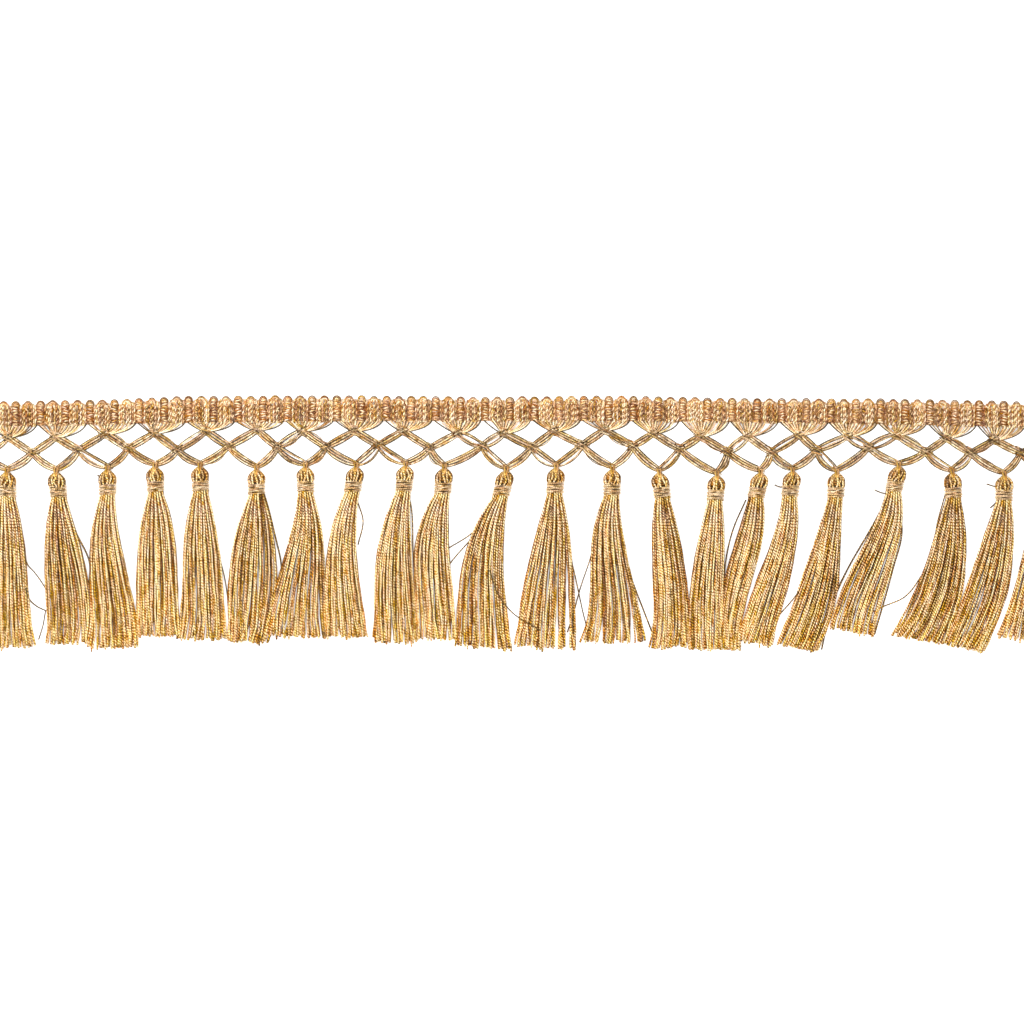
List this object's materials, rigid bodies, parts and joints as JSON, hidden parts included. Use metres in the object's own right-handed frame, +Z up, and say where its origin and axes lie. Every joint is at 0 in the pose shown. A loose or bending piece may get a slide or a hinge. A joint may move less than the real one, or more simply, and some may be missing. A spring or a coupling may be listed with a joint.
{
  "type": "tassel fringe trim",
  "caption": "Cut length of gold tassel fringe: a knitted heading with a looped edge, an open knotted net and a row of bound cord tassels, laid flat.",
  "frame": {"origin": "middle of the trim's footprint, on the surface that it lies on", "axes": "+X runs along the heading, +Y points from the tassels' tips to the heading's top edge, +Z points up from the surface"},
  "size_m": [0.462, 0.1068, 0.0058],
  "materials": {
    "heading": "knitted metallic thread, tan gold, soft sheen",
    "lattice": "loose bundles of fine metallic thread, gold",
    "tassel": "fine twisted cords of gold metallic thread, sparkling",
    "binding": "tight turns of fine gold thread"
  },
  "bodies": {
    "root": {"heading": "heading", "lattice": "lattice", "tassel_01": "tassel", "binding_01": "binding", "tassel_02": "tassel", "binding_02": "binding", "tassel_03": "tassel", "binding_03": "binding", "tassel_04": "tassel", "binding_04": "binding", "tassel_05": "tassel", "binding_05": "binding", "tassel_06": "tassel", "binding_06": "binding", "tassel_07": "tassel", "binding_07": "binding", "tassel_08": "tassel", "binding_08": "binding", "tassel_09": "tassel", "binding_09": "binding", "tassel_10": "tassel", "binding_10": "binding", "tassel_11": "tassel", "binding_11": "binding", "tassel_12": "tassel", "binding_12": "binding", "tassel_13": "tassel", "binding_13": "binding", "tassel_14": "tassel", "binding_14": "binding", "tassel_15": "tassel", "binding_15": "binding", "tassel_16": "tassel", "binding_16": "binding", "tassel_17": "tassel", "binding_17": "binding", "tassel_18": "tassel", "binding_18": "binding", "tassel_19": "tassel", "binding_19": "binding", "tassel_20": "tassel", "binding_20": "binding", "tassel_21": "tassel", "binding_21": "binding", "tassel_22": "tassel", "binding_22": "binding"}
  },
  "joints": []
}
